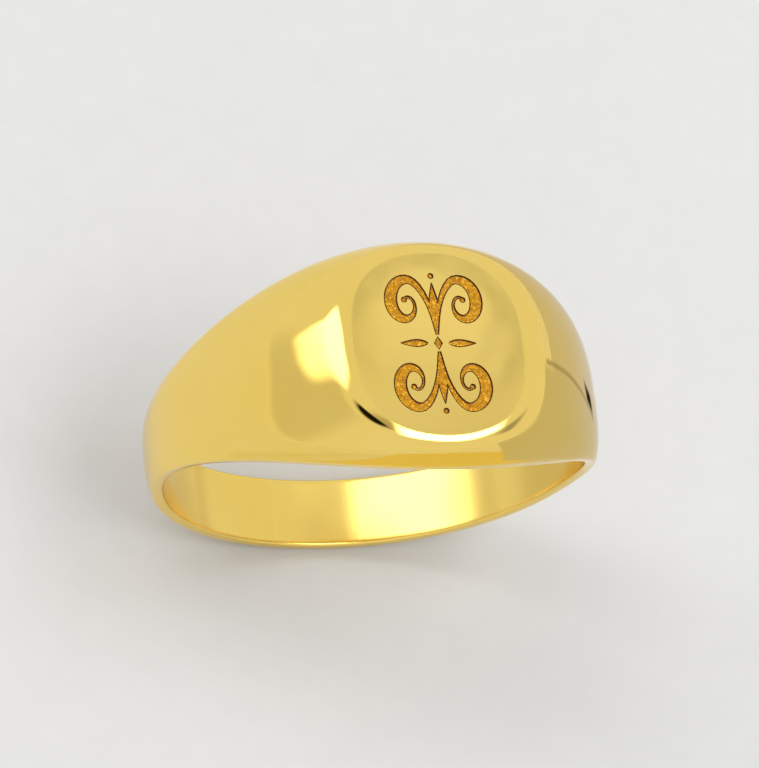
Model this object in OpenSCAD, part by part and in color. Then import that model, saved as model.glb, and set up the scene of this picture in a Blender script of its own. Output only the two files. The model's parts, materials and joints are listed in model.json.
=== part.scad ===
// Signet ring, built up on the bench: a hollow head with a flat engraved table,
// a half-round shank in two halves, a let-in sizing piece, and the solder that joins them.
// The finger bore runs along Y and the table faces +Z. Angles are measured from +Z.

/* [Finger bore] */
// Inside diameter of the band
bore_d = 17.35; // [14:0.05:23]

/* [Head] */
// Width of the head along the finger
head_w = 9.65; // [7:0.05:13]
// Height of the flat table above the bore
table_rise = 1.62; // [1.5:0.02:2.2]
// Height that the dome would reach above the bore if the table were not cut
dome_rise = 2.98; // [2.6:0.02:3.8]
// How fast the head narrows towards the shank
width_taper = 2.1; // [1.5:0.05:3.5]
// How fast the head thins towards the shank
rise_taper = 5.2; // [3.5:0.1:6.5]
// Softness of the edge between the table and the dome
crease = 0.3; // [0.1:0.05:0.45]

/* [Shank] */
// Width of the band at the back
shank_w = 3; // [2:0.1:5]
// Thickness of the band at its crown
shank_t = 0.7; // [0.6:0.05:1.8]
// Thickness of the band at its rims
rim_t = 0.4; // [0.25:0.05:0.5]
// Fullness of the crown across the band
crown_width_power = 2.8; // [2:0.1:3.6]
// Fullness of the crown in height
crown_height_power = 1.6; // [1.3:0.05:2.5]

/* [Table plate] */
// Distance from the edge of the table to the seam of its plate
table_margin = 0.65; // [0.5:0.05:1]
// Thickness of the table plate
table_t = 0.7; // [0.5:0.05:0.9]
// Width of the ledge under the table plate
ledge_w = 0.7; // [0.4:0.05:1]

/* [Back plate] */
// Thickness of the curved plate that closes the head from inside
back_t = 0.4; // [0.3:0.05:0.5]
// Overlap of the back plate on its seat around the hollow
back_lap = 0.5; // [0.3:0.05:0.7]
// Diameter of the vent that lets gas out of the hollow
vent_d = 0.7; // [0.4:0.05:1]

/* [Joints] */
// Angle from the table to the joints between head and shank
shoulder_angle = 112; // [100:1:130]
// Length of the sizing piece along the bore
sizing_len = 3.6; // [2:0.1:6]
// Thickness of the solder in each joint
solder_t = 0.06; // [0.04:0.01:0.12]

/* [Ornament] */
// Plain metal between the ornament and the plate's seam, above and below
ornament_gap_y = 0.5; // [0.3:0.05:1]
// Plain metal between the ornament and the plate's seam, at each side
ornament_gap_x = 1.3; // [0.8:0.05:2]
// Width of the heaviest strokes
stroke_w = 0.56; // [0.4:0.02:0.7]
// Width of the hairline strokes
hairline_w = 0.15; // [0.1:0.01:0.25]
// Depth of the engraved recess
recess_depth = 0.14; // [0.08:0.01:0.25]
// Depth from the table down to the top of the inlay
inlay_sink = 0.03; // [0.01:0.01:0.05]

/* [Hidden] */

gold = [0.93, 0.76, 0.33];
solder_gold = [0.90, 0.80, 0.50];
inlay_gold = [0.84, 0.55, 0.08];

bore_r = bore_d / 2;
table_z = bore_r + table_rise;
core_depth = 1;       // how far the raw head reaches inside the bore before the bore trims it
arc_step = 3;         // degrees between two sections of the raw head
section_steps = 20;   // steps across a section of the band
outline_steps = 96;   // points on the table's outline
bore_fn = 96;         // facets of a round preview
overcut = 1;          // how far a cut runs past the face it opens

// Angles of the joints, counted from the table
solder_angle = solder_t / bore_r * 180 / PI;
sizing_half = sizing_len / bore_r * 90 / PI;
shank_start = shoulder_angle + solder_angle;
shank_end = 180 - sizing_half - solder_angle;

// Shape of the band

// Share of the head's form that is left at angle a: 1 at the table, 0 from the shoulders on
function head_share(a) = max(0, (cos(a) - cos(shoulder_angle)) / (1 - cos(shoulder_angle)));

function half_width(a) = shank_w / 2 + (head_w - shank_w) / 2 * pow(head_share(a), width_taper);

function crown_rise(a) = shank_t + (dome_rise - shank_t) * pow(head_share(a), rise_taper);

function crown(u) = pow(max(0, 1 - pow(min(abs(u), 1), crown_width_power)), 1 / crown_height_power);

function dome_r(a, y) = bore_r + rim_t + (crown_rise(a) - rim_t) * crown(y / half_width(a));

// Radius at which the table's plane lies at angle a; past 80 degrees the dome is always lower
function table_r(a) = table_z / max(cos(a), cos(80));

// The lesser of p and q, with the corner between them rounded over the width k
function soft_min(p, q, k) = min(p, q) - pow(max(k - abs(p - q), 0), 2) / (4 * k);

function skin_r(a, y) = soft_min(dome_r(a, y), table_r(a), crease);

// Section of the band at angle a, as [radius, y] points: its outer face, closed at inner_r
function section(a, inner_r) =
    let (w = half_width(a))
    concat(
        [[inner_r, -w]],
        [for (i = [0:section_steps])
            let (
                t = 180 * i / section_steps - 90,
                y = w * sign(t) * pow(abs(sin(t)), 2 / crown_width_power)
            )
            [skin_r(a, y), y]],
        [[inner_r, w]]
    );

// Raw head from angle a0 to a1, reaching core_depth inside the bore
module raw_head(a0, a1) {
    steps = ceil((a1 - a0) / arc_step);
    per = section_steps + 3;
    points = [for (i = [0:steps])
        let (a = a0 + (a1 - a0) * i / steps)
        for (p = section(a, bore_r - core_depth)) [p[0] * sin(a), p[1], p[0] * cos(a)]];
    sides = [for (i = [0:steps - 1], j = [0:per - 1])
        let (k = (j + 1) % per)
        each [
            [i * per + j, i * per + k, (i + 1) * per + k],
            [i * per + j, (i + 1) * per + k, (i + 1) * per + j]
        ]];
    first = [for (j = [per - 1:-1:0]) j];
    last = [for (j = [0:per - 1]) steps * per + j];
    polyhedron(points = points, faces = concat(sides, [first, last]));
}

// Sweeps a profile of [radius, y] around the bore from angle a0 to a1
module around_bore(a0, a1) {
    rotate(a = -120, v = [1, 1, 1])
        rotate([0, 0, a0])
            rotate_extrude(angle = a1 - a0, $fn = bore_fn)
                children();
}

// Part of a tube around the bore, half_y each way along it
module tube(r0, r1, a0, a1, half_y) {
    around_bore(a0, a1)
        translate([r0, -half_y])
            square([r1 - r0, 2 * half_y]);
}

// Half-round band from angle a0 to a1, both past the shoulders
module half_round(a0, a1) {
    around_bore(a0, a1)
        polygon(section(180, bore_r));
}

// Outline of the table

// How far the dome stands above the table's plane at x, y; negative outside the table
function dome_over_table(x, y) = dome_r(atan2(x, table_z), y) - norm([x, table_z]);

// Distance from the middle to the table's edge in direction t, by bisection
function edge_distance(t, low, high, n = 22) =
    let (mid = (low + high) / 2)
    n == 0 ? mid
    : dome_over_table(mid * cos(t), mid * sin(t)) > 0 ? edge_distance(t, mid, high, n - 1)
    : edge_distance(t, low, mid, n - 1);

table_edge = [for (i = [0:outline_steps - 1])
    let (t = 360 * i / outline_steps) edge_distance(t, 0, head_w)];

// The table's outline, drawn in by inset
module table_outline(inset) {
    polygon([for (i = [0:outline_steps - 1])
        let (t = 360 * i / outline_steps) (table_edge[i] - inset) * [cos(t), sin(t)]]);
}

// Prism on the table's outline from z0 to z1
module table_prism(inset, z0, z1) {
    translate([0, 0, z0]) linear_extrude(z1 - z0) table_outline(inset);
}

table_half_x = table_edge[0];
table_half_y = table_edge[outline_steps / 4];
table_seat_z = table_z - table_t - solder_t;

// Window through the head, from the ledge under the table plate down into the bore
hollow_inset = table_margin + ledge_w;
module window() {
    table_prism(hollow_inset, bore_r / 2, table_z);
}

// Back plate: a patch of tube that overlaps its seat around the window by back_lap
back_half_angle = atan((table_half_x - hollow_inset + back_lap) / bore_r);
back_half_y = table_half_y - hollow_inset + back_lap;
module back_patch(r0, r1, gap) {
    gap_angle = gap / bore_r * 180 / PI;
    half_angle = back_half_angle - gap_angle;
    tube(r0, r1, -half_angle, half_angle, back_half_y - gap);
}

// Ornament: four mirrored scrolls, leaves on both axes, a lozenge in the middle and two beads

ornament_w = 2 * (table_half_x - table_margin - solder_t - ornament_gap_x);
ornament_h = 2 * (table_half_y - table_margin - solder_t - ornament_gap_y);
stroke_steps = 48;
bead_r = 0.13;
bead_fn = 32;

// Stroke whose middle line is path(s) and whose half width is half_w(s), for s from 0 to 1
module stroke(path, half_w, steps = stroke_steps) {
    ds = 0.002;
    sides = [for (i = [0:steps])
        let (
            s = i / steps,
            along = path(min(1, s + ds)) - path(max(0, s - ds)),
            across = [-along[1], along[0]] / norm(along)
        )
        [path(s) + half_w(s) * across, path(s) - half_w(s) * across]];
    polygon(concat(
        [for (side = sides) side[0]],
        [for (i = [steps:-1:0]) sides[i][1]]
    ));
}

// Width of a stroke that swells from a hairline at s = 0 and thins again by s = swell_end
function swelling(s, swell_end) =
    let (swell = pow(max(0, sin(min(1, s / swell_end) * 180)), 1.6))
    hairline_w / 2 + (stroke_w - hairline_w) / 2 * swell;

// Main scroll: it leaves the middle, climbs, and winds in to its eye
scroll_eye = [0.27 * ornament_w, 0.28 * ornament_h];
scroll_size = [0.235 * ornament_w, 0.22 * ornament_h];
scroll_root = [0, 0.06 * ornament_h];
scroll_start = 200;
scroll_turn = 500;
root_share = 0.2;
function scroll_path(s) =
    let (
        a = scroll_start - scroll_turn * s,
        k = 1 - 0.85 * pow(s, 0.9),
        wound = scroll_eye + k * [scroll_size[0] * cos(a), scroll_size[1] * sin(a)],
        pull = pow(max(0, 1 - s / root_share), 2)
    )
    wound * (1 - pull) + scroll_root * pull;

module scroll() {
    stroke(function (s) scroll_path(s), function (s) swelling(s, 0.75));
    translate(scroll_path(1))
        circle(r = bead_r, $fn = bead_fn);
}

// Pointed leaf from p to q, half_w wide at its fullest
module leaf(p, q, half_w) {
    stroke(
        function (s) p * (1 - s) + q * s,
        function (s) hairline_w / 6 + half_w * sin(180 * pow(s, 0.75)),
        24
    );
}

module lozenge(half_w, half_h) {
    polygon([[half_w, 0], [0, half_h], [-half_w, 0], [0, -half_h]]);
}

module ornament() {
    for (mx = [0, 1], my = [0, 1])
        mirror([mx, 0])
            mirror([0, my])
                scroll();
    for (end = [-1, 1]) {
        leaf([0, 0.14 * end * ornament_h], [0, 0.43 * end * ornament_h], 0.2);
        leaf([0.1 * end * ornament_w, 0], [0.37 * end * ornament_w, 0], 0.15);
        translate([0, end * (ornament_h / 2 - bead_r)])
            circle(r = bead_r, $fn = bead_fn);
    }
    lozenge(0.045 * ornament_w, 0.05 * ornament_h);
}

// Pieces

module head_shell() {
    color(gold) difference() {
        intersection() {
            raw_head(-shoulder_angle - arc_step, shoulder_angle + arc_step);
            tube(bore_r, 2 * bore_r, -shoulder_angle, shoulder_angle, head_w);
        }
        table_prism(table_margin, table_seat_z, table_z + overcut);
        window();
        back_patch(bore_r - core_depth, bore_r + back_t + solder_t, 0);
    }
}

module signet_table() {
    color(gold) difference() {
        table_prism(table_margin + solder_t, table_z - table_t, table_z);
        translate([0, 0, table_z - recess_depth])
            linear_extrude(recess_depth + overcut)
                ornament();
    }
}

module ornament_inlay() {
    color(inlay_gold)
        translate([0, 0, table_z - recess_depth])
            linear_extrude(recess_depth - inlay_sink)
                ornament();
}

module back_plate() {
    color(gold) difference() {
        back_patch(bore_r, bore_r + back_t, solder_t);
        cylinder(d = vent_d, h = table_z, $fn = bead_fn);
    }
}

module shank_right() {
    color(gold) half_round(shank_start, shank_end);
}

module shank_left() {
    color(gold) half_round(-shank_end, -shank_start);
}

module sizing_piece() {
    color(gold) half_round(180 - sizing_half, 180 + sizing_half);
}

// Solder under and around the table plate
module table_solder() {
    color(solder_gold) difference() {
        table_prism(table_margin, table_seat_z, table_z);
        table_prism(table_margin + solder_t, table_z - table_t, table_z + overcut);
        window();
    }
}

// Solder over and around the back plate
module back_plate_solder() {
    color(solder_gold) difference() {
        back_patch(bore_r, bore_r + back_t + solder_t, 0);
        back_patch(bore_r - core_depth, bore_r + back_t, solder_t);
        window();
    }
}

module shoulder_solder_right() {
    color(solder_gold) half_round(shoulder_angle, shank_start);
}

module shoulder_solder_left() {
    color(solder_gold) half_round(-shank_start, -shoulder_angle);
}

module sizing_solder_right() {
    color(solder_gold) half_round(shank_end, 180 - sizing_half);
}

module sizing_solder_left() {
    color(solder_gold) half_round(sizing_half - 180, -shank_end);
}

head_shell();
signet_table();
ornament_inlay();
back_plate();
shank_left();
shank_right();
sizing_piece();
table_solder();
back_plate_solder();
shoulder_solder_left();
shoulder_solder_right();
sizing_solder_left();
sizing_solder_right();
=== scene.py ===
"""Looks of the signet ring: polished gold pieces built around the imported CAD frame."""

import json

import bmesh
import bpy
import numpy as np
from mathutils import Matrix, Vector


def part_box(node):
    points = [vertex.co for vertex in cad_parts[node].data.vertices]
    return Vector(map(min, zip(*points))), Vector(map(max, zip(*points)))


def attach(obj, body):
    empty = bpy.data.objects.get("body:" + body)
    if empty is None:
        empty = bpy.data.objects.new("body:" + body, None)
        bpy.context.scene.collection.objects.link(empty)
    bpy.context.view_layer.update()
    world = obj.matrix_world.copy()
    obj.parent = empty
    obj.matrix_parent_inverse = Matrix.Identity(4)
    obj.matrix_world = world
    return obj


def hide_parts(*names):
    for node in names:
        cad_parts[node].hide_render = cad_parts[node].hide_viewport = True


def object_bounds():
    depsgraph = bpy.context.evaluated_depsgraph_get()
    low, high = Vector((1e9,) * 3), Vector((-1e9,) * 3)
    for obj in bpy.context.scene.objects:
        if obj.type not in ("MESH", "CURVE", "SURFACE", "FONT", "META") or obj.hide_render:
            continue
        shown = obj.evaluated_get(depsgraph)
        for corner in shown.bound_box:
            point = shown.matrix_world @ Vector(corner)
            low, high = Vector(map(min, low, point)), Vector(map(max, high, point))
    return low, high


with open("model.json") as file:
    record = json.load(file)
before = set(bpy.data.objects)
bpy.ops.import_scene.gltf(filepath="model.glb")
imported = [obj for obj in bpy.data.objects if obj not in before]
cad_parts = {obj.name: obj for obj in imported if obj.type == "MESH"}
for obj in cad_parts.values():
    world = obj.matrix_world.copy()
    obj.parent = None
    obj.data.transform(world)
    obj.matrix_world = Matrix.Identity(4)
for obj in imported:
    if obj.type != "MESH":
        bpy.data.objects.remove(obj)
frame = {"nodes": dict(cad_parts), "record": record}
cad_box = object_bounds()

MM = 0.001

# Sizes taken from the frame, in millimetres
mounts = {m["name"]: m for m in frame["record"]["mounts"]}
back_lo, back_hi = (np.array(corner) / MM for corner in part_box("sizing_piece"))
plate_lo, plate_hi = (np.array(corner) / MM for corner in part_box("signet_table"))
inlay_lo, inlay_hi = (np.array(corner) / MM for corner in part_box("ornament_inlay"))

BORE_R = mounts["finger_bore"]["dims"]["r_mm"]
TABLE_Z = mounts["signet_face"]["pos_m"][2] / MM
HEAD_W = mounts["finger_bore"]["dims"]["length_mm"]
SHANK_W = back_hi[1] - back_lo[1]
SHANK_T = -back_lo[2] - BORE_R
TABLE_T = plate_hi[2] - plate_lo[2]
RECESS_Z = inlay_lo[2]
INLAY_Z = inlay_hi[2]

# The rest of the ring's shape, as the design states it, in millimetres and degrees
DOME_RISE = 2.98       # height of the uncut dome over the bore
WIDTH_TAPER = 2.1      # how fast the head narrows towards the shank
RISE_TAPER = 5.2       # how fast the head thins towards the shank
RIM_T = 0.4            # thickness of the band at its rims
CROWN_WIDTH_POWER = 2.8
CROWN_HEIGHT_POWER = 1.6
CREASE = 0.3           # softness of the edge between the table and the dome
SHOULDER = 112.0       # angle from the table to the joints between head and shank
SIZING_LEN = 3.6
SOLDER_T = 0.06
TABLE_MARGIN = 0.65    # from the edge of the table to the seam of its plate
LEDGE_W = 0.7          # ledge under the table plate
BACK_T = 0.4
BACK_LAP = 0.5         # overlap of the back plate on its seat
EDGE_R = 0.12          # rounding of the bore's two edges, worn smooth

# Fineness of the meshes
CURVE_STEPS = 4000     # along one section's law, before it is spaced evenly
RIM_CROWDING = 2.2     # crowds those steps towards the steep rims
OUTER_STEPS = 150      # along the outer face of one section
BORE_STEPS = 24        # across the bore
EDGE_STEPS = 6         # around one rounded bore edge
HEAD_STEP = 0.8        # degrees between two sections of the head
SHANK_STEP = 1.2       # degrees between two sections of the shank
OUTLINE_STEPS = 96     # around the outline of the table
BISECTIONS = 30        # halvings when the table's edge is found
PATCH_STEPS = 48       # around the seat of the back plate
STROKE_STEPS = 96      # along one scroll of the ornament
LEAF_STEPS = 24        # along one leaf of the ornament
DISC_STEPS = 32        # around one bead of the ornament
VOXEL = 0.018          # of the remeshed inlay
SMOOTH_ANGLE = 32      # degrees; sharper edges stay sharp


# ---------------------------------------------------------------- shape of the band

def head_share(a):
    """1 in the middle of the head, falling to 0 at its joints with the shank."""
    low = np.cos(np.radians(SHOULDER))
    return np.maximum(0, (np.cos(np.radians(a)) - low) / (1 - low))


def half_width(a):
    return SHANK_W / 2 + (HEAD_W - SHANK_W) / 2 * head_share(a) ** WIDTH_TAPER


def crown_rise(a):
    return SHANK_T + (DOME_RISE - SHANK_T) * head_share(a) ** RISE_TAPER


def soft_min(p, q, k):
    """The smaller of two values, rounded over where they differ by less than k."""
    return np.minimum(p, q) - np.maximum(k - np.abs(p - q), 0) ** 2 / (4 * k)


def dome_r(a, crown):
    """Radius of the uncut dome at angle a, where its section has that share of its height."""
    return BORE_R + RIM_T + (crown_rise(a) - RIM_T) * crown


def skin_r(a, crown):
    """Radius of the outer face: the dome, cut by the plane of the table with a soft crease."""
    steepest = 80
    table = TABLE_Z / np.maximum(np.cos(np.radians(a)), np.cos(np.radians(steepest)))
    return soft_min(dome_r(a, crown), table, CREASE)


def outer_curve(a, steps):
    """The outer face of the section at angle a as evenly spaced (radius, y) points, rim to rim."""
    s = np.linspace(-1, 1, CURVE_STEPS + 1)
    t = np.sign(s) * (1 - (1 - np.abs(s)) ** RIM_CROWDING) * np.pi / 2
    y = half_width(a) * np.sign(t) * np.abs(np.sin(t)) ** (2 / CROWN_WIDTH_POWER)
    r = skin_r(a, np.abs(np.cos(t)) ** (2 / CROWN_HEIGHT_POWER))
    length = np.concatenate([[0], np.cumsum(np.hypot(np.diff(r), np.diff(y)))])
    even = np.linspace(0, length[-1], steps + 1)
    return np.stack([np.interp(even, length, r), np.interp(even, length, y)], 1)


def section_loop(a, steps):
    """Closed section at angle a: outer face, rim, rounded edge, bore, rounded edge, rim."""
    w = half_width(a)
    turn = np.linspace(0, np.pi / 2, EDGE_STEPS + 1)
    edge = np.stack([
        BORE_R + EDGE_R * (1 - np.sin(turn)),
        w - EDGE_R * (1 - np.cos(turn)),
    ], 1)
    rim = np.array([[BORE_R + (RIM_T + EDGE_R) / 2, w]])
    bore_y = np.linspace(w - EDGE_R, EDGE_R - w, BORE_STEPS + 1)[1:-1]
    bore = np.stack([np.full_like(bore_y, BORE_R), bore_y], 1)
    upper = np.concatenate([rim, edge])
    lower = upper[::-1] * [1, -1]
    return np.concatenate([outer_curve(a, steps), upper, bore, lower])


def around(a, points):
    """Places (radius, y) points at angle a from +Z."""
    r, y = points[:, 0], points[:, 1]
    a = np.radians(a)
    return np.stack([r * np.sin(a), y, r * np.cos(a)], 1)


# ---------------------------------------------------------------- meshes

def add_mesh(name, points, faces):
    """A mesh object from points in millimetres, its faces turned outward alike."""
    mesh = bpy.data.meshes.new(name)
    mesh.from_pydata((np.asarray(points) * MM).tolist(), [], faces)
    mesh.validate()
    obj = bpy.data.objects.new(name, mesh)
    bpy.context.collection.objects.link(obj)
    fix_normals(mesh)
    return obj


def fix_normals(mesh):
    bm = bmesh.new()
    bm.from_mesh(mesh)
    bmesh.ops.recalc_face_normals(bm, faces=bm.faces)
    bm.to_mesh(mesh)
    bm.free()


def smooth_by_angle(obj):
    """Smooth shading with true corners where faces meet at more than the angle."""
    mesh = obj.data
    mesh.shade_smooth()
    mesh.set_sharp_from_angle(angle=np.radians(SMOOTH_ANGLE))


def sweep(name, a0, a1, step, steps):
    """A piece of the band from angle a0 to a1, closed by flat ends."""
    count = max(1, int(np.ceil((a1 - a0) / step)))
    loops = [around(a, section_loop(a, steps)) for a in np.linspace(a0, a1, count + 1)]
    per = len(loops[0])
    faces = [
        (i * per + j, i * per + (j + 1) % per, (i + 1) * per + (j + 1) % per, (i + 1) * per + j)
        for i in range(count) for j in range(per)
    ]
    faces.append(tuple(range(per)))
    faces.append(tuple(count * per + j for j in reversed(range(per))))
    return add_mesh(name, np.concatenate(loops), faces)


def prism(name, outline, z0, z1):
    """The outline in X and Y, raised from z0 to z1."""
    n = len(outline)
    points = [(x, y, z) for z in (z0, z1) for x, y in outline]
    sides = [(i, (i + 1) % n, n + (i + 1) % n, n + i) for i in range(n)]
    return add_mesh(name, points, [*sides, tuple(range(n)), tuple(range(n, 2 * n))])


def tube_patch(name, r0, r1, half_angle, half_y):
    """A curved block between two radii, centred under the table."""
    steps = PATCH_STEPS
    angles = np.linspace(-half_angle, half_angle, steps + 1)
    ring = np.array([[r0, -half_y], [r1, -half_y], [r1, half_y], [r0, half_y]])
    points = np.concatenate([around(a, ring) for a in angles])
    faces = [
        (4 * i + j, 4 * i + (j + 1) % 4, 4 * i + 4 + (j + 1) % 4, 4 * i + 4 + j)
        for i in range(steps) for j in range(4)
    ]
    return add_mesh(name, points, [*faces, (0, 1, 2, 3), tuple(4 * steps + j for j in range(4))])


def apply_modifiers(obj):
    graph = bpy.context.evaluated_depsgraph_get()
    mesh = bpy.data.meshes.new_from_object(obj.evaluated_get(graph))
    obj.modifiers.clear()
    obj.data = mesh


def subtract(obj, cutters):
    """Cuts the cutters from the object and removes them."""
    for cutter in cutters:
        cut = obj.modifiers.new(cutter.name, "BOOLEAN")
        cut.operation = "DIFFERENCE"
        cut.solver = "EXACT"
        cut.object = cutter
    apply_modifiers(obj)
    for cutter in cutters:
        bpy.data.objects.remove(cutter)


# ---------------------------------------------------------------- outline of the table

def table_edge(t):
    """Distance from the middle of the table to its edge in direction t, by bisection."""
    low, high = 0.0, HEAD_W
    for _ in range(BISECTIONS):
        mid = (low + high) / 2
        x, y = mid * np.cos(t), mid * np.sin(t)
        a = np.degrees(np.arctan2(x, TABLE_Z))
        u = min(abs(y) / half_width(a), 1)
        crown = max(0, 1 - u ** CROWN_WIDTH_POWER) ** (1 / CROWN_HEIGHT_POWER)
        if dome_r(a, crown) > np.hypot(x, TABLE_Z):
            low = mid
        else:
            high = mid
    return low


turns = np.arange(OUTLINE_STEPS) * 2 * np.pi / OUTLINE_STEPS
edge_distance = np.array([table_edge(t) for t in turns])
half_x, half_y = edge_distance[0], edge_distance[OUTLINE_STEPS // 4]


def table_outline(inset):
    """The table's outline, drawn in by the inset."""
    reach = edge_distance - inset
    return np.stack([reach * np.cos(turns), reach * np.sin(turns)], 1)


# ---------------------------------------------------------------- ornament

ORNAMENT_GAP = (1.3, 0.5)          # plain metal beside it and above it, in millimetres
STROKE_W = 0.56
HAIRLINE_W = 0.15
BEAD_R = 0.13
INLAY_BORDER = 0.055               # the dark groove left beside every stroke
SWELL_END, SWELL_POWER = 0.75, 1.6
SCROLL_START, SCROLL_TURN = 200, 500
SCROLL_SHRINK, SCROLL_PACE = 0.85, 0.9
ROOT_LENGTH = 0.2                  # share of a scroll that runs out of the stem
STEM_LEAF_HALF_W, SIDE_LEAF_HALF_W = 0.2, 0.15
THINNEST_HALF_W = 0.015
FORK_HALF_W = 0.05                 # of the patch where scrolls and stem leaf part

# Places and sizes in the ornament, as shares of its width and height
SCROLL_EYE = (0.27, 0.28)
SCROLL_SIZE = (0.235, 0.22)
ROOT_Y = 0.06
STEM_LEAF = (0.14, 0.43)
SIDE_LEAF = (0.1, 0.37)
FORK_LOW_Y, FORK_HIGH_Y = 0.08, 0.2
LOZENGE = (0.045, 0.05)

ornament_w = 2 * (half_x - TABLE_MARGIN - SOLDER_T - ORNAMENT_GAP[0])
ornament_h = 2 * (half_y - TABLE_MARGIN - SOLDER_T - ORNAMENT_GAP[1])
ornament_size = np.array([ornament_w, ornament_h])


def swelling(s):
    """Half width of a scroll's stroke along its length: fine, heavy, fine."""
    swell = np.maximum(0, np.sin(np.minimum(1, s / SWELL_END) * np.pi)) ** SWELL_POWER
    return HAIRLINE_W / 2 + (STROKE_W - HAIRLINE_W) / 2 * swell


def scroll_path(s):
    """Middle line of one scroll, from the stem to its eye."""
    a = np.radians(SCROLL_START - SCROLL_TURN * s)
    k = 1 - SCROLL_SHRINK * s ** SCROLL_PACE
    eye = np.array(SCROLL_EYE) * ornament_size
    size = np.array(SCROLL_SIZE) * ornament_size
    wound = eye + k[:, None] * size * np.stack([np.cos(a), np.sin(a)], 1)
    pull = (np.maximum(0, 1 - s / ROOT_LENGTH) ** 2)[:, None]
    return wound * (1 - pull) + np.array([0, ROOT_Y * ornament_h]) * pull


def stroke_outline(path, half_w):
    """Closed outline of a stroke of varying half width along a path."""
    along = np.gradient(path, axis=0)
    across = np.stack([-along[:, 1], along[:, 0]], 1) / np.linalg.norm(along, axis=1)[:, None]
    side = half_w[:, None] * across
    return np.concatenate([path + side, (path - side)[::-1]])


def disc(centre, r):
    t = np.arange(DISC_STEPS) * 2 * np.pi / DISC_STEPS
    return np.asarray(centre) + r * np.stack([np.cos(t), np.sin(t)], 1)


def leaf(p, q, half_w, border):
    """Outline of a leaf from p to q, fullest past its middle."""
    s = np.linspace(0.02, 0.98, LEAF_STEPS + 1)
    path = np.asarray(p) * (1 - s)[:, None] + np.asarray(q) * s[:, None]
    w = HAIRLINE_W / 6 + half_w * np.sin(np.pi * s ** 0.75)
    return stroke_outline(path, np.maximum(w - border, THINNEST_HALF_W))


def ornament_outlines(border):
    """Closed outlines of every stroke, drawn in by the border on each side."""
    s = np.linspace(0, 1, STROKE_STEPS + 1)
    path = scroll_path(s)
    scroll = stroke_outline(path, swelling(s) - border)
    eye = disc(path[-1], BEAD_R - border)
    outlines = [shape * [mx, my] for shape in (scroll, eye) for mx in (-1, 1) for my in (-1, 1)]
    fork = np.array([
        [-FORK_HALF_W, FORK_LOW_Y],
        [FORK_HALF_W, FORK_LOW_Y],
        [FORK_HALF_W, FORK_HIGH_Y],
        [-FORK_HALF_W, FORK_HIGH_Y],
    ])
    for end in (-1, 1):
        stem = [[0, share * end * ornament_h] for share in STEM_LEAF]
        side = [[share * end * ornament_w, 0] for share in SIDE_LEAF]
        outlines.append(leaf(*stem, STEM_LEAF_HALF_W, border))
        outlines.append(leaf(*side, SIDE_LEAF_HALF_W, border))
        outlines.append(disc([0, end * (ornament_h / 2 - BEAD_R)], BEAD_R - border))
        outlines.append(fork * [1, end * ornament_h])
    w, h = np.array(LOZENGE) * ornament_size - border
    outlines.append(np.array([[w, 0], [0, h], [-w, 0], [0, -h]]))
    return outlines


# ---------------------------------------------------------------- materials

GOLD = (0.955, 0.70, 0.185)
GOLD_DEEP = (0.94, 0.67, 0.15)
GOLD_SOLDER = (0.955, 0.705, 0.19)
OXIDE = (0.36, 0.165, 0.085)
FILL = (0.54, 0.255, 0.008)
FILL_DARK = (0.37, 0.155, 0.005)
FILL_SPECK = (0.85, 0.48, 0.05)
FLOOR = (0.60, 0.60, 0.595)
FLOOR_LIGHT = (0.61, 0.61, 0.605)

POLISHED, HAZY = 0.045, 0.085      # roughness of the outer faces, from place to place
WORN = 0.2                         # roughness inside the band
OXIDISED = 0.6                     # roughness of the recess walls
FLOOR_ROUGH = 0.9
PILLOW_R = 0.16                    # radius of the table's slight doming, in metres

# Noise scales, per metre
DRIFT_SCALE = 160
WAVE_SCALE = 330
HAZE_SCALE = 420
FLOOR_SCALE = 900
PATCH_SCALE = 6000
SCRATCH_SCALE = 9000
RING_SCALE = 14000
CELL_SCALE = 17000
GRAIN_SCALE = 21000

# Heights of the surface relief, in metres
WAVE_HEIGHT = 0.00003
SCRATCH_HEIGHT = 0.0000015
RING_HEIGHT = 0.000002
CELL_HEIGHT = 0.00001


def new_material(name):
    material = bpy.data.materials.new(name)
    material.use_nodes = True
    nodes = material.node_tree.nodes
    return material, nodes, material.node_tree.links, nodes["Principled BSDF"]


def noise(nodes, links, source, scale, detail=2.0, rough=0.5):
    texture = nodes.new("ShaderNodeTexNoise")
    texture.inputs["Scale"].default_value = scale
    texture.inputs["Detail"].default_value = detail
    texture.inputs["Roughness"].default_value = rough
    links.new(source, texture.inputs["Vector"])
    return texture.outputs["Fac"]


def remap(nodes, links, source, low, high, out_low, out_high):
    """Smooth step from one pair of values to another."""
    node = nodes.new("ShaderNodeMapRange")
    node.interpolation_type = "SMOOTHSTEP"
    node.inputs["From Min"].default_value = low
    node.inputs["From Max"].default_value = high
    node.inputs["To Min"].default_value = out_low
    node.inputs["To Max"].default_value = out_high
    links.new(source, node.inputs["Value"])
    return node.outputs["Result"]


def mix_value(nodes, links, factor, first, second):
    node = nodes.new("ShaderNodeMix")
    for name, value in (("A", first), ("B", second), ("Factor", factor)):
        socket = node.inputs[name]
        if isinstance(value, (int, float)):
            socket.default_value = value
        else:
            links.new(value, socket)
    return node.outputs["Result"]


def math_node(nodes, links, operation, first, second=None):
    node = nodes.new("ShaderNodeMath")
    node.operation = operation
    for socket, value in zip(node.inputs, (first, second)):
        if isinstance(value, (int, float)):
            socket.default_value = value
        elif value is not None:
            links.new(value, socket)
    return node.outputs["Value"]


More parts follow.
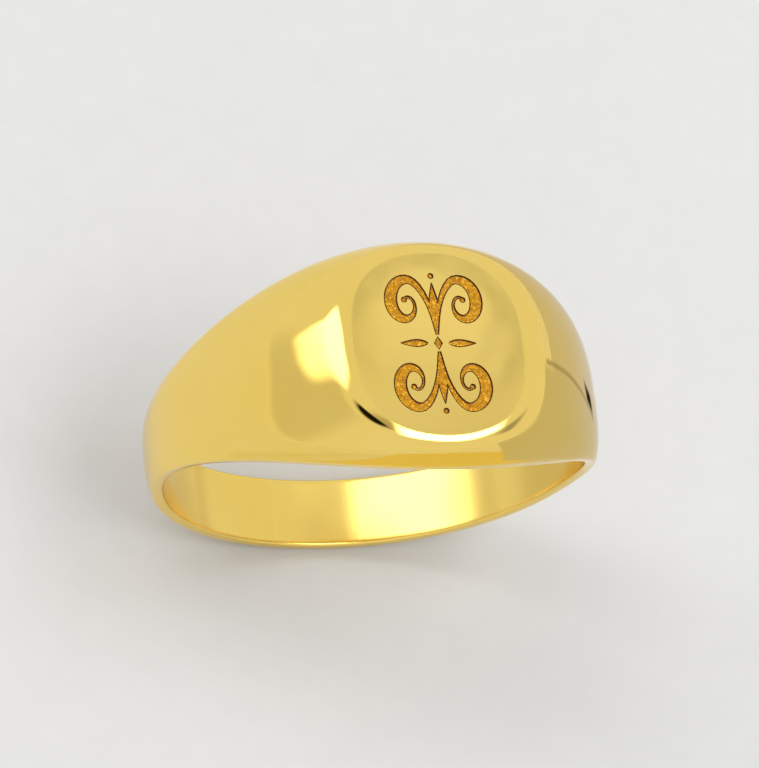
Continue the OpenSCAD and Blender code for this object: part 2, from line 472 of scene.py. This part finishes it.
def bore_mask(nodes, links, place):
    """1 on the inside of the band, 0 on its outer faces."""
    flat = nodes.new("ShaderNodeVectorMath")
    flat.operation = "MULTIPLY"
    flat.inputs[1].default_value = (1, 0, 1)
    links.new(place, flat.inputs[0])
    radius = nodes.new("ShaderNodeVectorMath")
    radius.operation = "LENGTH"
    links.new(flat.outputs["Vector"], radius.inputs[0])
    inner, outer = (BORE_R + 0.02) * MM, (BORE_R + EDGE_R) * MM
    return remap(nodes, links, radius.outputs["Value"], inner, outer, 1, 0)


def mix_color(nodes, links, factor, first, second):
    node = nodes.new("ShaderNodeMix")
    node.data_type = "RGBA"
    for socket, value in ((node.inputs["A"], first), (node.inputs["B"], second)):
        if isinstance(value, tuple):
            socket.default_value = (*value, 1)
        else:
            links.new(value, socket)
    links.new(factor, node.inputs["Factor"])
    return node.outputs["Result"]


def bump(nodes, links, height, strength, distance, normal=None):
    node = nodes.new("ShaderNodeBump")
    node.inputs["Strength"].default_value = strength
    node.inputs["Distance"].default_value = distance
    links.new(height, node.inputs["Height"])
    if normal is not None:
        links.new(normal, node.inputs["Normal"])
    return node.outputs["Normal"]


def height_mask(nodes, links, place, low, high, out_low, out_high):
    """Smooth step with the height over the bore's axis, in millimetres."""
    height = nodes.new("ShaderNodeSeparateXYZ")
    links.new(place, height.inputs[0])
    return remap(nodes, links, height.outputs["Z"], low * MM, high * MM, out_low, out_high)


def pillowed(nodes, links, place):
    """The table's normal, leaning out a little towards its edges, as hand polishing leaves it."""
    on_table = height_mask(nodes, links, place, TABLE_Z - 0.06, TABLE_Z - 0.01, 0, 1)
    lean = nodes.new("ShaderNodeVectorMath")
    lean.operation = "MULTIPLY"
    lean.inputs[1].default_value = (1 / PILLOW_R, 1 / PILLOW_R, 0)
    links.new(place, lean.inputs[0])
    fade = nodes.new("ShaderNodeVectorMath")
    fade.operation = "SCALE"
    links.new(lean.outputs["Vector"], fade.inputs[0])
    links.new(on_table, fade.inputs["Scale"])
    total = nodes.new("ShaderNodeVectorMath")
    total.operation = "ADD"
    links.new(fade.outputs["Vector"], total.inputs[0])
    links.new(nodes.new("ShaderNodeNewGeometry").outputs["Normal"], total.inputs[1])
    unit = nodes.new("ShaderNodeVectorMath")
    unit.operation = "NORMALIZE"
    links.new(total.outputs["Vector"], unit.inputs[0])
    return unit.outputs["Vector"]


def gold_material(name, color, deep, recess=False):
    """Mirror-polished gold: slight colour drift, polishing waves and fine scratches."""
    material, nodes, links, shader = new_material(name)
    place = nodes.new("ShaderNodeTexCoord").outputs["Object"]
    drift = noise(nodes, links, place, DRIFT_SCALE, 3)
    tone = mix_color(nodes, links, remap(nodes, links, drift, 0.35, 0.7, 0, 1), color, deep)
    haze = noise(nodes, links, place, HAZE_SCALE, 4, 0.6)
    rough = remap(nodes, links, haze, 0.4, 0.75, POLISHED, HAZY)
    inside = bore_mask(nodes, links, place)
    rough = mix_value(nodes, links, inside, rough, WORN)
    if recess:
        depth = height_mask(nodes, links, place, TABLE_Z - 0.03, TABLE_Z - 0.004, 1, 0)
        tone = mix_color(nodes, links, depth, tone, OXIDE)
        rough = mix_value(nodes, links, depth, rough, OXIDISED)
    links.new(rough, shader.inputs["Roughness"])
    links.new(tone, shader.inputs["Base Color"])
    shader.inputs["Metallic"].default_value = 1
    waves = noise(nodes, links, place, WAVE_SCALE, 1)
    normal = bump(nodes, links, waves, 0.6, WAVE_HEIGHT, pillowed(nodes, links, place))
    scratches = noise(nodes, links, place, SCRATCH_SCALE, 3, 0.7)
    normal = bump(nodes, links, scratches, 0.05, SCRATCH_HEIGHT, normal)
    stretch = nodes.new("ShaderNodeMapping")
    stretch.inputs["Scale"].default_value = (0.03, 1, 0.03)
    links.new(place, stretch.inputs["Vector"])
    rings = noise(nodes, links, stretch.outputs["Vector"], RING_SCALE, 3, 0.6)
    worn = mix_value(nodes, links, inside, 0.5, rings)
    links.new(bump(nodes, links, worn, 0.3, RING_HEIGHT, normal), shader.inputs["Normal"])
    return material


def engraving_material():
    """Granular orange-gold floor of the engraved recess."""
    material, nodes, links, shader = new_material("engraving_fill")
    place = nodes.new("ShaderNodeTexCoord").outputs["Object"]
    grain = noise(nodes, links, place, GRAIN_SCALE, 2, 0.6)
    patch = noise(nodes, links, place, PATCH_SCALE, 2)
    cells = nodes.new("ShaderNodeTexVoronoi")
    cells.inputs["Scale"].default_value = CELL_SCALE
    links.new(place, cells.inputs["Vector"])
    cell = nodes.new("ShaderNodeSeparateColor")
    links.new(cells.outputs["Color"], cell.inputs[0])
    in_patch = remap(nodes, links, patch, 0.35, 0.65, 0, 1)
    tone = mix_color(nodes, links, in_patch, FILL_DARK, FILL)
    in_grain = remap(nodes, links, grain, 0.5, 0.68, 0, 0.7)
    tone = mix_color(nodes, links, in_grain, tone, FILL_DARK)
    in_speck = remap(nodes, links, cell.outputs["Red"], 0.8, 0.95, 0, 0.8)
    tone = mix_color(nodes, links, in_speck, tone, FILL_SPECK)
    rough = remap(nodes, links, cell.outputs["Green"], 0.2, 0.9, 0.6, 0.3)
    links.new(tone, shader.inputs["Base Color"])
    links.new(rough, shader.inputs["Roughness"])
    shader.inputs["Metallic"].default_value = 0.8
    links.new(bump(nodes, links, cell.outputs["Blue"], 0.5, CELL_HEIGHT), shader.inputs["Normal"])
    return material


def floor_material():
    """Plain pale floor with a trace of unevenness."""
    material, nodes, links, shader = new_material("floor")
    place = nodes.new("ShaderNodeTexCoord").outputs["Object"]
    fine = remap(nodes, links, noise(nodes, links, place, FLOOR_SCALE, 4), 0.3, 0.7, 0, 1)
    links.new(mix_color(nodes, links, fine, FLOOR, FLOOR_LIGHT), shader.inputs["Base Color"])
    shader.inputs["Roughness"].default_value = FLOOR_ROUGH
    return material


def dress(obj, material):
    obj.data.materials.clear()
    obj.data.materials.append(material)


def redress(node, material):
    """Gives a CAD node another material without touching its mesh."""
    obj = frame["nodes"][node]
    for place in obj.material_slots:
        place.link = "OBJECT"
        place.material = material


# ---------------------------------------------------------------- pieces

def stand_for(obj, slot, *nodes):
    """Puts a finished piece on the body in place of its CAD nodes."""
    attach(obj, "root")
    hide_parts(*nodes)


def make_head(material):
    """The head, with the table's seat, the window under it and the back plate's seat cut out."""
    obj = sweep("polished_head", -SHOULDER, SHOULDER, HEAD_STEP, OUTER_STEPS)
    hollow = TABLE_MARGIN + LEDGE_W
    back_angle = np.degrees(np.arctan((half_x - hollow + BACK_LAP) / BORE_R))
    back_y = half_y - hollow + BACK_LAP
    cutters = [
        prism("table_seat", table_outline(TABLE_MARGIN), TABLE_Z - TABLE_T - SOLDER_T, TABLE_Z + 1),
        prism("window", table_outline(hollow), BORE_R / 2, TABLE_Z),
        tube_patch("back_seat", BORE_R - 1, BORE_R + BACK_T + SOLDER_T, back_angle, back_y),
    ]
    subtract(obj, cutters)
    dress(obj, material)
    smooth_by_angle(obj)
    stand_for(obj, "polished_gold", "head_shell")


def make_band(name, a0, a1, material, slot, node):
    """One piece of the shank, between two angles."""
    obj = sweep(name, a0, a1, SHANK_STEP, OUTER_STEPS // 2)
    dress(obj, material)
    smooth_by_angle(obj)
    stand_for(obj, slot, node)


def make_shank(gold, solder):
    """Both halves of the shank, the sizing piece and the four seams between them and the head."""
    joint = np.degrees(SOLDER_T / BORE_R)
    sizing = np.degrees(SIZING_LEN / BORE_R) / 2
    start, end, last = SHOULDER + joint, 180 - sizing - joint, 180 - sizing
    for name, a0, a1, node in (
        ("polished_shank_right", start, end, "shank_right"),
        ("polished_shank_left", -end, -start, "shank_left"),
        ("polished_sizing_piece", last, 180 + sizing, "sizing_piece"),
    ):
        make_band(name, a0, a1, gold, "polished_gold", node)
    for name, a0, a1, node in (
        ("shoulder_seam_right", SHOULDER, start, "shoulder_solder_right"),
        ("shoulder_seam_left", -start, -SHOULDER, "shoulder_solder_left"),
        ("sizing_seam_right", end, last, "sizing_solder_right"),
        ("sizing_seam_left", -last, -end, "sizing_solder_left"),
    ):
        make_band(name, a0, a1, solder, "gold_solder", node)


def make_inlay(material):
    """The granular fill: every stroke a little narrower than its recess, joined by remeshing."""
    outlines = ornament_outlines(INLAY_BORDER)
    strokes = [prism("stroke", outline, RECESS_Z, INLAY_Z) for outline in outlines]
    obj = strokes[0]
    obj.name = "granular_inlay"
    with bpy.context.temp_override(
        active_object=obj, object=obj, selected_objects=strokes, selected_editable_objects=strokes
    ):
        bpy.ops.object.join()
    voxels = obj.modifiers.new("voxels", "REMESH")
    voxels.mode = "VOXEL"
    voxels.voxel_size = VOXEL * MM
    apply_modifiers(obj)
    dress(obj, material)
    smooth_by_angle(obj)
    stand_for(obj, "engraving_fill", "ornament_inlay")


gold = gold_material("polished_gold", GOLD, GOLD_DEEP)
table_gold = gold_material("table_gold", GOLD, GOLD_DEEP, recess=True)
solder = gold_material("gold_solder", GOLD_SOLDER, GOLD)
engraving = engraving_material()

make_head(gold)
make_shank(gold, solder)
make_inlay(engraving)
redress("signet_table", table_gold)
redress("back_plate", gold)
redress("table_solder", solder)
redress("back_plate_solder", solder)


# ---------------------------------------------------------------- floor, light and camera

FLOOR_HALF = 1.5                   # metres


def direction(azimuth, elevation):
    """Unit vector; azimuth turns from +Y towards +X."""
    a, e = np.radians(azimuth), np.radians(elevation)
    return Vector((np.sin(a) * np.cos(e), np.cos(a) * np.cos(e), np.sin(e)))


def make_floor():
    z = cad_box[0].z
    signs = ((-1, -1), (1, -1), (1, 1), (-1, 1))
    corners = [(sx * FLOOR_HALF, sy * FLOOR_HALF, z) for sx, sy in signs]
    mesh = bpy.data.meshes.new("floor")
    mesh.from_pydata(corners, [], [(0, 1, 2, 3)])
    floor = bpy.data.objects.new("floor", mesh)
    bpy.context.collection.objects.link(floor)
    mesh.materials.append(floor_material())


class Studio:
    """The room's light, as a world of soft panels: each is a direction, a size and a brightness."""

    def __init__(self, base):
        self.world = bpy.data.worlds.new("studio")
        bpy.context.scene.world = self.world
        self.world.use_nodes = True
        self.nodes, self.links = self.world.node_tree.nodes, self.world.node_tree.links
        self.ray = self.nodes.new("ShaderNodeTexCoord").outputs["Generated"]
        self.light = None
        self.base = base

    def dot(self, vector):
        node = self.nodes.new("ShaderNodeVectorMath")
        node.operation = "DOT_PRODUCT"
        node.inputs[1].default_value = vector
        self.links.new(self.ray, node.inputs[0])
        return node.outputs["Value"]

    def lay(self, mask, color):
        """Lays a colour over the light so far, where the mask is 1."""
        under = self.base if self.light is None else self.light
        self.light = mix_color(self.nodes, self.links, mask, under, color)

    def spot(self, azimuth, elevation, inner, outer, color):
        """Round patch, full to inner degrees and gone by outer degrees."""
        toward = self.dot(direction(azimuth, elevation))
        low, high = np.cos(np.radians(outer)), np.cos(np.radians(inner))
        mask = remap(self.nodes, self.links, toward, low, high, 0, 1)
        self.lay(mask, color)

    def softbox(self, corners, color):
        """Flat panel; a corner is azimuth, elevation and the softness of the edge that follows."""
        ways = [direction(azimuth, elevation) for azimuth, elevation, _ in corners]
        middle = sum(ways, Vector())
        mask = 1.0
        for way, following, (_, _, soft) in zip(ways, ways[1:] + ways[:1], corners):
            inward = way.cross(following).normalized()
            if inward.dot(middle) < 0:
                inward.negate()
            reach = np.sin(np.radians(soft))
            edge = remap(self.nodes, self.links, self.dot(inward), -reach, reach, 0, 1)
            mask = math_node(self.nodes, self.links, "MULTIPLY", edge, mask)
        self.lay(mask, color)

    def finish(self):
        self.links.new(self.light, self.nodes["Background"].inputs["Color"])


def grey(value, warmth=0.0):
    """A brightness, with its blue taken down by the warmth."""
    return (value, value * (1 - 0.5 * warmth), value * (1 - warmth))


def make_light():
    """A large key panel on the left, a strip behind the camera, dim panels and dark gaps.

    Later panels cover earlier ones. The flat table mirrors a small patch of the room to
    the camera, so that patch has its own soft spots.
    """
    mirrored = (38.5, 61.5)
    beside_mirrored = (44, 65)
    dusk = (-125, 75)
    dark_gap = (-123, 77.5)
    studio = Studio(grey(0.84))

    dim_left = [(-125, 2, 1.5), (-63, 2, 6), (-70, 42, 8), (-125, 47, 12)]
    dim_right = [(96, 57, 5), (124, 45, 5), (118, 35, 5), (84, 47, 5)]
    studio.softbox(dim_left, grey(0.70))
    studio.softbox(dim_right, grey(0.38))

    studio.spot(*mirrored, 2.7, 4.2, grey(0.64))
    studio.spot(*mirrored, 2.0, 2.8, grey(0.88))
    studio.spot(*beside_mirrored, 2.0, 4.5, grey(0.79))

    dim_above = [(46, 65, 3), (-95, 83, 6), (-125, 69, 4), (168, 73, 6)]
    studio.softbox(dim_above, grey(0.50, 0.1))
    studio.spot(*dusk, 6, 15, grey(0.28, 0.2))

    key_edge = [(-53, 2, 1.5), (-43, 28, 1.5), (-28, 57, 1.5), (15, 66, 3), (-69, 66, 6), (-75, 21, 3)]
    key = [(-51, 10, 1.5), (-43, 28, 1.5), (-28, 57, 1.5), (15, 66, 2.5), (-68, 64, 5), (-72, 33, 6)]
    strip = [(46, 71, 2), (57, 63.5, 2), (94, 59, 4), (135, 55, 4), (-178, 62, 3), (125, 84, 2)]
    studio.softbox(key_edge, grey(2.2))
    studio.softbox(key, grey(3.6))
    studio.softbox(strip, grey(5.5))

    studio.spot(*dark_gap, 7.5, 10.5, grey(0.01))
    studio.finish()


def card_material(name, low, high, soft, color):
    """Plain glow, faded to nothing over the soft width inside the card's edges."""
    material = bpy.data.materials.new(name)
    material.use_nodes = True
    nodes, links = material.node_tree.nodes, material.node_tree.links
    nodes.clear()
    place = nodes.new("ShaderNodeSeparateXYZ")
    links.new(nodes.new("ShaderNodeTexCoord").outputs["Object"], place.inputs[0])
    mask = 1.0
    for axis in np.nonzero(high - low)[0]:
        middle, half = (low[axis] + high[axis]) / 2 * MM, (high[axis] - low[axis]) / 2 * MM
        offset = math_node(nodes, links, "SUBTRACT", place.outputs[int(axis)], middle)
        reach = math_node(nodes, links, "ABSOLUTE", offset)
        fade = remap(nodes, links, reach, max(0, half - soft * MM), half, 1, 0)
        mask = math_node(nodes, links, "MULTIPLY", fade, mask)
    glow = nodes.new("ShaderNodeEmission")
    glow.inputs["Color"].default_value = (*color, 1)
    blend = nodes.new("ShaderNodeMixShader")
    links.new(mask, blend.inputs[0])
    links.new(nodes.new("ShaderNodeBsdfTransparent").outputs[0], blend.inputs[1])
    links.new(glow.outputs[0], blend.inputs[2])
    links.new(blend.outputs[0], nodes.new("ShaderNodeOutputMaterial").inputs["Surface"])
    return material


def make_card(name, low, high, soft, color):
    """Soft-edged rectangle between two corners, in millimetres, that only the metal sees."""
    low, high = np.array(low, float), np.array(high, float)
    u = np.nonzero(high - low)[0][0]
    corners = np.array([low, low, high, high])
    corners[1, u], corners[3, u] = high[u], low[u]
    card = add_mesh(name, corners, [(0, 1, 2, 3)])
    dress(card, card_material(name, low, high, soft, color))
    card.visible_camera = card.visible_shadow = card.visible_diffuse = False


def make_cards():
    """Cards on the floor in front and at the right, and one that stands beside the ring."""
    floor = cad_box[0].z / MM + 0.05
    above, top = floor + 0.02, floor + 0.04
    make_card("front_card", (-50, -110, floor), (0, -11, floor), 6, (0.76, 0.75, 0.66))
    make_card("warm_card", (-10, -140, above), (60, -11, above), 5, (0.78, 0.66, 0.30))
    make_card("right_card", (11, -20, top), (100, 100, top), 8, (0.63, 0.61, 0.60))
    make_card("side_card", (20, -25, floor), (20, 5.2, 12), 1.5, (0.60, 0.59, 0.58))
    make_card("side_trim", (19.95, 4.4, floor), (19.95, 5.3, 9), 0.45, (0.40, 0.36, 0.31))
    make_card("side_gap", (19.9, 4.9, floor), (19.9, 6.9, -5.6), 0.6, (0.02, 0.02, 0.02))


def make_camera():
    """Long lens, in front, above and a little to the left of the ring.

    Lengths are in millimetres. The aim lies beside the bore's centre, by so much to the
    picture's right and so much up.
    """
    azimuth, tilt, roll = np.radians((-18.0, 20.53, -6.58))
    distance = 260
    aim_right, aim_up = 0.4314, 2.2211
    focal_length = 294.94
    back = Vector((np.sin(azimuth) * np.cos(tilt), -np.sin(tilt), np.cos(azimuth) * np.cos(tilt)))
    right = Vector((0, 1, 0)).cross(back).normalized()
    up = back.cross(right)
    turn = Matrix.Rotation(roll, 3, back)
    right, up = turn @ right, turn @ up
    place = back * distance
    out = (place - right * aim_right - up * aim_up).normalized()
    side = up.cross(out).normalized()
    axes = Matrix((side, out.cross(side), out)).transposed()
    camera = bpy.data.objects.new("camera", bpy.data.cameras.new("camera"))
    bpy.context.collection.objects.link(camera)
    camera.matrix_world = Matrix.Translation(place * MM) @ axes.to_4x4()
    camera.data.lens = focal_length
    camera.data.clip_start, camera.data.clip_end = 0.01, 10
    bpy.context.scene.camera = camera


make_floor()
make_light()
make_cards()
make_camera()
bpy.context.scene.view_settings.view_transform = "Standard"
